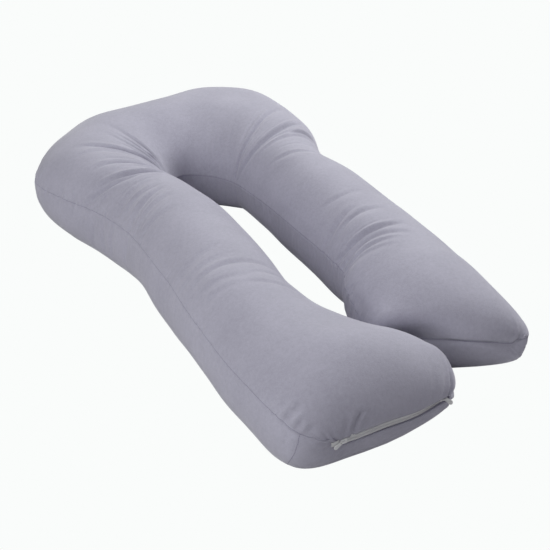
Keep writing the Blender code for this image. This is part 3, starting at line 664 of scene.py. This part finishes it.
firmness = held(depth, points)
slack = -normal * (SLACK * (1 - firmness))[..., None]
i = np.append(np.arange(0, len(rows_s) - 1, COARSE_ROWS), len(rows_s) - 1)
j = np.arange(0, len(columns_t), COARSE_COLUMNS)
start = (points + slack)[i][:, j]
move = blown_up(start, firmness[i][:, j]) - start
far = np.linalg.norm(move, axis=-1)[..., None]
move *= np.minimum(1, MOST_MOVE / np.maximum(far, 1e-9))
by_row = np.array([np.interp(np.arange(len(rows_s)), i, column)
                   for column in move.transpose(1, 2, 0).reshape(-1, len(i))])
by_row = by_row.reshape(len(j), 3, -1).transpose(2, 0, 1)
wrapped = np.concatenate([by_row, by_row[:, :1]], axis=1)
share = np.arange(len(columns_t)) / COARSE_COLUMNS
low_column = share.astype(int)
share = (share - low_column)[None, :, None]
fine = wrapped[:, low_column] * (1 - share) + wrapped[:, low_column + 1] * share
points = points + slack + fine
points[..., 2] = np.maximum(points[..., 2], 0)


def foot_end(foot, row, across, out, up):
    """A place by a foot's end seam: across runs along it, 1 at the outer corner and -1 at
    the inner corner, out is how far it stands out of the foot, up is from the seam."""
    across, out, up = np.broadcast_arrays(across, out, up)
    outer, inner = np.array(row[0:2]), np.array(row[2:4])
    outwards = (outer - inner) / np.linalg.norm(outer - inner)
    outer = outer - outwards * foot.outer_corner
    inner = inner + outwards * foot.inner_corner
    half_width = np.linalg.norm(outer - inner) / 2
    away = np.array([-outwards[1], outwards[0]]) * (1 if foot is LEFT_FOOT else -1)
    plan = ((outer + inner) / 2 + outwards * (half_width * across)[..., None]
            + away * (foot.bow * (1 - across**2) + out)[..., None])
    z = WIDEST_HEIGHT + end_rise(foot, across) + up
    return np.concatenate([plan, z[..., None]], axis=-1)


SLOT_PLACES = (-1.0, -0.985, -0.95, -0.86, -0.62, -0.25, 0.25, 0.80, 0.915, 0.95, 1.0)
SLOT_OPENINGS = (0.10, 0.30, 0.44, 0.52, 0.66, 0.80, 1.00, 0.88, 0.66, 0.10, 0.10)


def end_ring(foot, row, half_height, depth):
    """The ring of an end seam's lips, or of the slot's floor, with a point a column."""
    ring = []
    for t in columns_t:
        angle = np.pi * t if 0 <= t <= 1 else np.pi * (2 - t if t > 1 else -t)
        across = signed_power(np.cos(angle), 2 / TOP_ROUNDNESS)
        opening = np.interp(across, SLOT_PLACES, SLOT_OPENINGS)
        up = 0.0 if t in (0.0, 1.0) else half_height * opening * (1 if 0 < t < 1 else -1)
        ring.append(foot_end(foot, row, across, -depth * opening, up))
    return np.array(ring)


# Half height and depth of each ring: the slot's floor, wall and lip, and the far end's seam.
SLOT_RINGS = ((0.0071, 0.0060), (0.0074, 0.0035), (0.0070, 0.0010))
FAR_SEAM_RINGS = ((0.0024, 0.0002), (0.0008, 0.0030))
WALL_FOLLOWS, LIP_FOLLOWS = 0.35, 0.7       # how far they move with the creased cloth
left_rings = [end_ring(LEFT_FOOT, ROWS[0], *ring) for ring in SLOT_RINGS]
right_rings = [end_ring(RIGHT_FOOT, ROWS[-1], *ring) for ring in FAR_SEAM_RINGS]
left_rings[1] += (points[0] - plain[0]) * WALL_FOLLOWS
left_rings[2] += (points[0] - plain[0]) * LIP_FOLLOWS
right_rings[0] += points[-1] - plain[-1]
rings = [*left_rings, *points, *right_rings]


def skin(shape, rings):
    """Makes the faces between rings of points and returns the rings' vertices."""
    loops = [[shape.verts.new(point) for point in ring] for ring in rings]
    for low, high in zip(loops, loops[1:]):
        for k in range(len(low)):
            after = (k + 1) % len(low)
            shape.faces.new((low[k], low[after], high[after], high[k]))
    return loops


def tube(shape, rings):
    """A skin with both of its ends closed."""
    loops = skin(shape, rings)
    shape.faces.new(loops[0])
    shape.faces.new(loops[-1])


def finished_mesh(name, shape):
    """The bmesh as a smooth mesh with its faces turned outwards."""
    bmesh.ops.recalc_face_normals(shape, faces=shape.faces[:])
    mesh = bpy.data.meshes.new(name)
    shape.to_mesh(mesh)
    shape.free()
    mesh.shade_smooth()
    return mesh


shape = bmesh.new()
loops = skin(shape, rings)
for loop in (loops[0], loops[-1]):
    lower = [loop[0]] + loop[:UPPER_STEPS:-1] + [loop[UPPER_STEPS]]
    shape.faces.new(loop[:UPPER_STEPS + 1] + lower[-2:0:-1])
pillow_mesh = finished_mesh("filled bag", shape)
bag = new_object("filled_bag", pillow_mesh)


def two_colours(material, factor, dark, light, span=(0.0, 1.0)):
    """A colour that runs from dark to light while the factor runs over the span."""
    ramp = add_node(material, "ShaderNodeValToRGB", Fac=factor)
    for element, place_on_ramp, colour in zip(ramp.color_ramp.elements, span, (dark, light)):
        element.position, element.color = place_on_ramp, linear(colour)
    return ramp.outputs["Color"]


def noise(material, size, detail=2.0, roughness=0.5):
    """Soft random spots of about this size in metres, from 0 to 1."""
    place = add_node(material, "ShaderNodeTexCoord").outputs["Object"]
    return add_node(material, "ShaderNodeTexNoise", Vector=place, Scale=1 / size,
                    Detail=detail, Roughness=roughness).outputs["Fac"]


def mixed(material, share, first, second):
    return add_node(material, "ShaderNodeMix", {"data_type": "FLOAT"}, Factor=share,
                    A=first, B=second).outputs["Result"]


# Cotton jersey with a brushed face. It gives the eye a matt, slightly mottled lavender grey with
# a paler edge where the nap is seen side on. The knit's 0.6 mm wales are too fine to show, so
# the nap's grain is drawn three times as coarse.
NAP_GRAIN, NAP_CLUMPS, DYE_PATCHES = 0.0022, 0.0070, 0.090     # sizes in metres
jersey, jersey_shader = start_material("brushed cotton jersey, lavender grey")
nap = mixed(jersey, 0.4, noise(jersey, NAP_GRAIN, 3.0, 0.65), noise(jersey, NAP_CLUMPS))
dyed = mixed(jersey, 0.3, nap, noise(jersey, DYE_PATCHES, 3.0, 0.55))
raised = add_node(jersey, "ShaderNodeBump", Height=nap, Strength=0.55, Distance=0.0012)
set_inputs(jersey, jersey_shader, {
    "Base Color": two_colours(jersey, dyed, "#9997a7", "#aeacbc", (0.32, 0.68)),
    "Normal": raised.outputs["Normal"], "Roughness": 0.9,
    "Sheen Weight": 0.25, "Sheen Roughness": 0.5})
pillow_mesh.materials.append(jersey)
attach(bag, "root")
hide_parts("pillow")

# ------------------------------------------------------------------ the seams
# The panels are joined inside out by a lockstitch, which shows only as a line of thread deep
# between them: round the outside and the inside of the U, across the right foot, and down a
# short dart that takes in the outer corner of the left foot. The thread's dark colour is painted
# shade: it stands for the shade in each seam's groove, and rows of it along both lips of the
# zip's slot paint the shadow of the folded cloth edges there.


def cloth_at(s, round_t):
    """Points of the finished cloth; round_t runs from 0 at the outer seam round to 2."""
    ring_t = np.concatenate([upper_t, under_t])
    i = np.interp(s, rows_s, np.arange(len(rows_s)))
    j = np.interp(round_t, ring_t, np.arange(len(ring_t)))
    i0, j0 = np.minimum(i.astype(int), len(rows_s) - 2), j.astype(int)
    i1, j1 = i0 + 1, (j0 + 1) % len(ring_t)
    u, v = (i - i0)[:, None], (j - j0)[:, None]
    return ((1 - u) * ((1 - v) * points[i0, j0] + v * points[i0, j1])
            + u * ((1 - v) * points[i1, j0] + v * points[i1, j1]))


def mesh_as_made(holder):
    """A new mesh of what an object's curve and modifiers give."""
    bpy.context.view_layer.update()
    graph = bpy.context.evaluated_depsgraph_get()
    return bpy.data.meshes.new_from_object(holder.evaluated_get(graph))


def add_line(curve, places, closed=False):
    line = curve.splines.new("POLY")
    line.points.add(len(places) - 1)
    for point, place in zip(line.points, places):
        point.co = (*place, 1.0)
    line.use_cyclic_u = closed


def repeat_along(name, paths, pitch, mesh, finish):
    """Copies of a small mesh along open paths, pitch apart, made by Geometry Nodes. The mesh's
    Z lies along the path and its X points sideways from it, level with the ground."""
    tree = bpy.data.node_groups.new("repeat along a path", "GeometryNodeTree")
    sockets = {}
    for label, kind in (("Path", "Geometry"), ("Pitch", "Float"), ("Shape", "Object"),
                        ("Finish", "Material")):
        sockets[label] = tree.interface.new_socket(
            label, in_out="INPUT", socket_type="NodeSocket" + kind).identifier
    tree.interface.new_socket("Row", in_out="OUTPUT", socket_type="NodeSocketGeometry")
    given, row = tree.nodes.new("NodeGroupInput"), tree.nodes.new("NodeGroupOutput")
    spots = tree.nodes.new("GeometryNodeCurveToPoints")
    spots.mode = "LENGTH"
    shape_of = tree.nodes.new("GeometryNodeObjectInfo")
    copies = tree.nodes.new("GeometryNodeInstanceOnPoints")
    realize = tree.nodes.new("GeometryNodeRealizeInstances")
    finished = tree.nodes.new("GeometryNodeSetMaterial")
    for source, output, target, socket in (
            (given, "Path", spots, "Curve"), (given, "Pitch", spots, "Length"),
            (given, "Shape", shape_of, "Object"), (spots, "Points", copies, "Points"),
            (spots, "Rotation", copies, "Rotation"),
            (shape_of, "Geometry", copies, "Instance"),
            (copies, "Instances", realize, "Geometry"),
            (realize, "Geometry", finished, "Geometry"),
            (given, "Finish", finished, "Material"), (finished, "Geometry", row, "Row")):
        tree.links.new(source.outputs[output], target.inputs[socket])

    curve = bpy.data.curves.new(name, "CURVE")
    curve.dimensions = "3D"
    curve.twist_mode = "Z_UP"
    for path in paths:
        add_line(curve, path)
    holder, one = new_object("path", curve), new_object("one", mesh)
    repeat = holder.modifiers.new("repeat", "NODES")
    repeat.node_group = tree
    repeat[sockets["Pitch"]] = pitch
    repeat[sockets["Shape"]] = one
    repeat[sockets["Finish"]] = finish
    result = mesh_as_made(holder)
    holder.modifiers.remove(repeat)
    for helper in (holder, one):
        bpy.data.objects.remove(helper, do_unlink=True)
    result.name = name
    result.shade_smooth()
    return new_object(name, result)


STITCH_PITCH, STITCH_LENGTH, THREAD_RADIUS = 0.0034, 0.0032, 0.0005
STITCH_SIDES = 5
stitch_shape = bmesh.new()
stitch_turn = np.linspace(0, 2 * math.pi, STITCH_SIDES, endpoint=False)
tube(stitch_shape, [
    [(THREAD_RADIUS * radius * math.cos(a), THREAD_RADIUS * radius * math.sin(a),
      STITCH_LENGTH * along) for a in stitch_turn]
    for along, radius in ((-0.5, 0.35), (-0.3, 1.0), (0.3, 1.0), (0.5, 0.35))])
stitch_mesh = finished_mesh("stitch", stitch_shape)

# Spun polyester thread, a shade darker than the jersey: the darkness is painted shade for the
# seam grooves and the zip slot's lips, and gives a thin, dull line.
thread, thread_shader = start_material("spun polyester thread, dark lilac grey")
THREAD_TWIST = 1 / 900
set_inputs(thread, thread_shader, {
    "Base Color": two_colours(thread, noise(thread, THREAD_TWIST), "#75728a", "#8c899d"),
    "Roughness": 0.95})

DART = ((0.0331, 1.998), (0.0297, 1.935), (0.0345, 1.895), (0.0440, 1.857),
        (0.0579, 1.813), (0.0720, 1.770))              # s, round_t
DART_POINTS, DART_STOPS = 40, 0.003                    # it stops this high over the ground
SEAM_POINTS, SEAM_PROUD = 60, 0.0004
k = np.linspace(0, len(DART) - 1, DART_POINTS)
dart = cloth_at(*(np.interp(k, range(len(DART)), column) for column in zip(*DART)))
dart = dart[dart[:, 2] > DART_STOPS]
far_seam = foot_end(RIGHT_FOOT, ROWS[-1], np.linspace(1, -1, SEAM_POINTS), SEAM_PROUD, 0.0)
outer_seam, inner_seam = points[:, 0], points[:, UPPER_STEPS]
# Stitches along both lips of the zip's slot: their dark thread paints the shadow of the cloth's
# folded edges.
lips = [left_rings[2][1:UPPER_STEPS], left_rings[2][UPPER_STEPS + 1:]]
seams = repeat_along("seam_thread", [outer_seam, inner_seam, far_seam, dart, *lips],
                     STITCH_PITCH, stitch_mesh, thread)
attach(seams, "root")

# ------------------------------------------------------------------ the zip
# A nylon coil zip closes the left foot: two woven polyester tapes, each with half of the coil
# sewn along its edge, are stitched under the lips of the cloth. The outer end of the tape is
# left loose, and two painted zinc sliders with pull tabs close the coil from both ends.


def by_zip(across, out, up):
    return foot_end(LEFT_FOOT, ROWS[0], across, out, up)


def strip_mesh(name, rings):
    """A strip of rings of points, with a UV map in metres: along the rings, then round them."""
    shape = bmesh.new()
    uv = shape.loops.layers.uv.new("UVMap")
    rings = np.asarray(rings)
    travel, around = travelled(rings.mean(axis=1)), travelled(rings[0])
    loops = [[shape.verts.new(point) for point in ring] for ring in rings]
    count = rings.shape[1]
    for i in range(len(rings) - 1):
        for k in range(count):
            after = (k + 1) % count
            face = shape.faces.new((loops[i][k], loops[i][after], loops[i + 1][after],
                                    loops[i + 1][k]))
            for corner, (row, column) in zip(face.loops, ((i, k), (i, k + 1), (i + 1, k + 1),
                                                          (i + 1, k))):
                corner[uv].uv = (travel[row], around[min(column, count - 1)])
    shape.faces.new(loops[0])
    shape.faces.new(loops[-1])
    return finished_mesh(name, shape)


TAPE_BACK, TAPE_THICKNESS, TAPE_DOME = -0.0034, 0.0007, 0.0015
TAPE_HALF_HEIGHT, TAPE_GAP = 0.0070, 0.0003
TAPE_REACH = (0.905, -0.965)
TAPE_STEPS, TAPE_COLUMNS = 90, 9
tape_places = np.linspace(*TAPE_REACH, TAPE_STEPS + 1)      # 1 at the foot's outer corner


def tape_ring(across, side):
    """One cut through one tape, from its inner edge round its face to its outer edge."""
    k = np.linspace(0, 1, TAPE_COLUMNS)
    up = side * (TAPE_GAP + (TAPE_HALF_HEIGHT - TAPE_GAP) * k)
    face = TAPE_BACK + TAPE_THICKNESS + TAPE_DOME * np.sin(np.pi * (0.2 + 0.8 * k))
    back = np.full(2, TAPE_BACK)
    return by_zip(across, np.concatenate([face, back]), np.concatenate([up, up[[-1, 0]]]))


tapes = bmesh.new()
for side in (1, -1):
    half = strip_mesh("tape", [tape_ring(across, side) for across in tape_places])
    tapes.from_mesh(half)
    bpy.data.meshes.remove(half)

# The loose outer end comes up out of the slot, over the cloth of the corner, and droops.
TAIL_STEPS = 14
TAIL_REACH = (0.905, 1.025)
TAIL_OUT, TAIL_ARCH, TAIL_CUP, TAIL_LIFT = 0.0012, 0.0016, 0.0010, 0.0022
TAIL_HALF_WIDTH, TAIL_NARROWING = 0.0046, 0.0006
tail = []
for k in np.linspace(0, 1, TAIL_STEPS + 1):
    across = TAIL_REACH[0] + (TAIL_REACH[1] - TAIL_REACH[0]) * k
    column = np.linspace(-1, 1, 2 * TAPE_COLUMNS)
    face = TAIL_OUT + TAIL_ARCH * math.sin(math.pi * k * 0.8) - TAIL_CUP * column**2
    up = ((TAIL_HALF_WIDTH - TAIL_NARROWING * k) * column + TAIL_LIFT
          - end_rise(LEFT_FOOT, across))
    tail.append(by_zip(across, np.concatenate([face, face[::-1] - TAPE_THICKNESS]),
                       np.concatenate([up, up[::-1]])))
tail_mesh = strip_mesh("tail", tail)
tapes.from_mesh(tail_mesh)
bpy.data.meshes.remove(tail_mesh)
tape_mesh = finished_mesh("zip tapes", tapes)
tape = new_object("zip_tapes", tape_mesh)

# Woven polyester tape gives a smooth, neutral light grey with a fine herringbone. Its 0.4 mm
# threads are too fine to show, so the herringbone is drawn at 1.4 mm.
HERRINGBONE = 0.0014
woven, woven_shader = start_material("woven polyester zip tape, light grey")
along_up = add_node(woven, "ShaderNodeSeparateXYZ",
                    Vector=add_node(woven, "ShaderNodeUVMap").outputs["UV"])
zigzag = add_node(woven, "ShaderNodeMath", {"operation": "PINGPONG"},
                  _0=along_up.outputs["Y"], _1=HERRINGBONE * 1.5)
slanted = add_node(woven, "ShaderNodeMath", {"operation": "ADD"},
                   _0=along_up.outputs["X"], _1=zigzag.outputs[0])
ribs = add_node(woven, "ShaderNodeMath", {"operation": "PINGPONG"},
                _0=slanted.outputs[0], _1=HERRINGBONE / 2)
ribs = add_node(woven, "ShaderNodeMapRange", Value=ribs.outputs[0], _2=HERRINGBONE / 2)
woven_raised = add_node(woven, "ShaderNodeBump", Height=ribs.outputs[0], Strength=0.5,
                        Distance=0.0003)
set_inputs(woven, woven_shader, {
    "Base Color": two_colours(woven, ribs.outputs[0], "#c2c2c6", "#d2d2d4"),
    "Normal": woven_raised.outputs["Normal"], "Roughness": 0.65})
tape_mesh.materials.append(woven)
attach(tape, "root")
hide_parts("zip_tape")

# The coil is one nylon thread wound into teeth: each turn reaches over from its own tape and
# hooks behind the turns of the other.
COIL_PITCH, COIL_WIRE = 0.0024, 0.00036
TURN = ((0.0022, -0.0021), (0.0017, -0.0016), (0.0006, -0.0015), (-0.0007, -0.0018),
        (-0.0010, -0.0024))                     # up, out of one turn
TURN_STAGGER, TURN_RISE, TURN_START = 0.25, 0.10, -0.2      # in pitches along the coil
WIRE_SIDES = 5
turn_shape = bmesh.new()
for side in (1, -1):
    path = np.array([(out, -up * side, COIL_PITCH * (TURN_STAGGER * side + TURN_RISE * k
                                                + TURN_START))
                     for k, (up, out) in enumerate(TURN)])
    sides = []
    for point, ahead in zip(path, np.gradient(path, axis=0)):
        ahead = ahead / np.linalg.norm(ahead)
        left = np.cross(ahead, (0, 0, 1))
        left /= np.linalg.norm(left)
        other = np.cross(ahead, left)
        sides.append([point + COIL_WIRE * (math.cos(a) * left + math.sin(a) * other)
                      for a in np.linspace(0, 2 * math.pi, WIRE_SIDES, endpoint=False)])
    tube(turn_shape, sides)
turn_mesh = finished_mesh("turn of the coil", turn_shape)
# Drawn nylon is smooth: each turn gives a small, bright glint.
nylon, nylon_shader = start_material("nylon monofilament, light grey")
set_inputs(nylon, nylon_shader, {
    "Base Color": linear("#c8c8cb"), "Roughness": 0.45, "IOR": 1.53})

coil = repeat_along("zip_coil", [by_zip(tape_places, 0.0, 0.0)], COIL_PITCH, turn_mesh, nylon)
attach(coil, "root")


def flat_plate(outlines, low, high):
    """A plate between two heights; the first outline is its rim, the others are holes."""
    curve = bpy.data.curves.new("plate", "CURVE")
    curve.dimensions = "2D"
    curve.fill_mode = "BOTH"
    curve.extrude = (high - low) / 2
    for outline in outlines:
        add_line(curve, [(x, y, 0.0) for x, y in outline], closed=True)
    holder = new_object("plate", curve)
    mesh = mesh_as_made(holder)
    bpy.data.objects.remove(holder, do_unlink=True)
    bpy.data.curves.remove(curve)
    mesh.transform(Matrix.Translation((0, 0, (low + high) / 2)))
    return mesh


def slider_frame(across, nose):
    """The slider's own axes: X towards its nose, along the slot, Y up and Z out."""
    small = 0.01
    place = by_zip(across, 0.0, 0.0)
    ahead = Vector(place - by_zip(across - small * nose, 0.0, 0.0)).normalized()
    out = ahead.cross(Vector((0, 0, 1)))
    out = (out if out.y < 0 else -out).normalized()
    axes = Matrix((ahead, out.cross(ahead), out)).transposed().to_4x4()
    return Matrix.Translation(place) @ axes


def cast_piece(name, parts, edge, node):
    """Joins parts of (mesh, place) into one piece with slightly rounded edges."""
    shape = bmesh.new()
    for mesh, place in parts:
        mesh.transform(place)
        shape.from_mesh(mesh)
        bpy.data.meshes.remove(mesh)
    bmesh.ops.remove_doubles(shape, verts=shape.verts[:], dist=1e-6)
    bmesh.ops.dissolve_limit(shape, angle_limit=math.radians(1), verts=shape.verts[:],
                             edges=shape.edges[:])
    mesh = finished_mesh(name, shape)
    piece = new_object(name, mesh)
    rounded = piece.modifiers.new("cast edges", "BEVEL")
    rounded.width, rounded.segments, rounded.angle_limit = edge, 2, math.radians(35)
    mesh.materials.append(zinc)
    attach(piece, "root")
    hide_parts(node)


# Die-cast zinc under satin grey paint gives a soft, broad highlight on rounded edges; the paint
# is a little uneven, and thinner where fingers rub it.
PAINT_MOTTLE = 0.0025
zinc, zinc_shader = start_material("die-cast zinc, satin grey paint")
mottle = noise(zinc, PAINT_MOTTLE)
satin = add_node(zinc, "ShaderNodeMapRange", Value=mottle, _3=0.38, _4=0.55)
uneven = add_node(zinc, "ShaderNodeBump", Height=mottle, Strength=0.3, Distance=0.0001)
set_inputs(zinc, zinc_shader, {
    "Base Color": two_colours(zinc, mottle, "#d0d0d2", "#ececee"),
    "Roughness": satin.outputs[0], "Normal": uneven.outputs["Normal"], "Metallic": 0.15})

SEAT = -0.0031                      # the back of a slider, on the coil
SLIDER_LENGTH, SLIDER_HALF_WIDTH, NOSE_HALF_WIDTH, SLIDER_FRONT = 0.0165, 0.0046, 0.0031, 0.0030
BACK_PLATE, CORE_FROM, CORE_TO, FRONT_FROM, CORE_INSET = 0.0009, 0.0007, 0.0020, 0.0018, 0.0007
BRIDGE_LENGTH, BRIDGE_WIDTH, BRIDGE_BAR, BRIDGE_GAP = 0.0080, 0.0020, 0.0012, 0.0022
SLIDER_EDGE, PULL_EDGE = 0.00025, 0.00022


def slider_outline(inset):
    nose, heel = SLIDER_LENGTH / 2 - inset, -SLIDER_LENGTH / 2 + inset
    wide, narrow = SLIDER_HALF_WIDTH - inset, NOSE_HALF_WIDTH - inset
    half = ((nose, narrow * 0.55), (nose * 0.86, narrow), (nose * 0.30, wide * 0.93),
            (-nose * 0.10, wide), (heel * 0.86, wide), (heel, wide * 0.78))
    return half + tuple((x, -y) for x, y in reversed(half))


def bridge_outline():
    half, top, foot, bar = BRIDGE_LENGTH / 2, BRIDGE_GAP + BRIDGE_BAR, -0.0006, BRIDGE_BAR
    outside = ((half, foot), (half, top * 0.5), (half * 0.90, top * 0.85), (half * 0.65, top))
    inside = ((half - bar, foot), (half - bar, top * 0.45), (half * 0.62, BRIDGE_GAP * 0.9),
              (half * 0.50, BRIDGE_GAP))
    return (*outside, *((-x, y) for x, y in reversed(outside)),
            *((-x, y) for x, y in inside), *reversed(inside))


def drop_outline(start, end, start_radius, end_radius, steps=12):
    """A drop from its narrow end at x = start to its round end at x = end."""
    lean = math.asin((end_radius - start_radius) / (end - start - end_radius - start_radius))
    quarter = math.pi / 2
    return [(middle + radius * math.cos(a), radius * math.sin(a))
            for middle, radius, first, last in (
                (end - end_radius, end_radius, -quarter - lean, quarter + lean),
                (start + start_radius, start_radius, quarter + lean, 3 * quarter - lean))
            for a in np.linspace(first, last, steps)]


PULL_LENGTH, PULL_THICKNESS, PULL_BAR, HOLE_LENGTH = 0.0205, 0.0014, 0.0014, 0.0052
RECESS_SPAN, RECESS_FROM, RECESS_TO = (0.0080, PULL_LENGTH - 0.0012), 0.0002, 0.0008
Slider = namedtuple("Slider", "name across nose pull_angle pull_lean")
for slider in (Slider("outer", 0.845, 1, math.radians(23), math.radians(6)),
               Slider("inner", -0.90, -1, math.radians(50), math.radians(38))):
    here = slider_frame(slider.across, slider.nose)
    on_seat = here @ Matrix.Translation((0, 0, SEAT))
    upright = (here @ Matrix.Translation((0, BRIDGE_WIDTH / 2, SEAT + SLIDER_FRONT))
               @ Matrix.Rotation(math.pi / 2, 4, "X"))
    cast_piece("zip_slider_" + slider.name, [
        (flat_plate([slider_outline(0.0)], 0.0, BACK_PLATE), on_seat),
        (flat_plate([slider_outline(CORE_INSET)], CORE_FROM, CORE_TO), on_seat),
        (flat_plate([slider_outline(0.0)], FRONT_FROM, SLIDER_FRONT), on_seat),
        (flat_plate([bridge_outline()], 0.0, BRIDGE_WIDTH), upright),
    ], SLIDER_EDGE, "slider_" + slider.name)
    hang = Matrix.Rotation(-math.copysign(slider.pull_angle, here[2][1]), 4, "Z")
    on_bridge = (here @ Matrix.Translation(((BRIDGE_LENGTH - BRIDGE_BAR) / 2, 0,
                                            SEAT + SLIDER_FRONT
                                            + (BRIDGE_GAP - PULL_THICKNESS) / 2))
                 @ hang @ Matrix.Rotation(-slider.pull_lean, 4, "Y")
                 @ Matrix.Translation((-(PULL_BAR + HOLE_LENGTH) / 2, 0, 0)))
    drop = drop_outline(-PULL_BAR / 2, PULL_LENGTH, 0.0030, 0.0041)
    hole = drop_outline(PULL_BAR / 2, PULL_BAR / 2 + HOLE_LENGTH, 0.0016, 0.0020)
    recess = drop_outline(*RECESS_SPAN, 0.0019, 0.0028)
    cast_piece("zip_pull_" + slider.name, [
        (flat_plate([drop, hole, recess], 0.0, PULL_THICKNESS), on_bridge),
        (flat_plate([recess], RECESS_FROM, RECESS_TO), on_bridge),
    ], PULL_EDGE, "pull_" + slider.name)
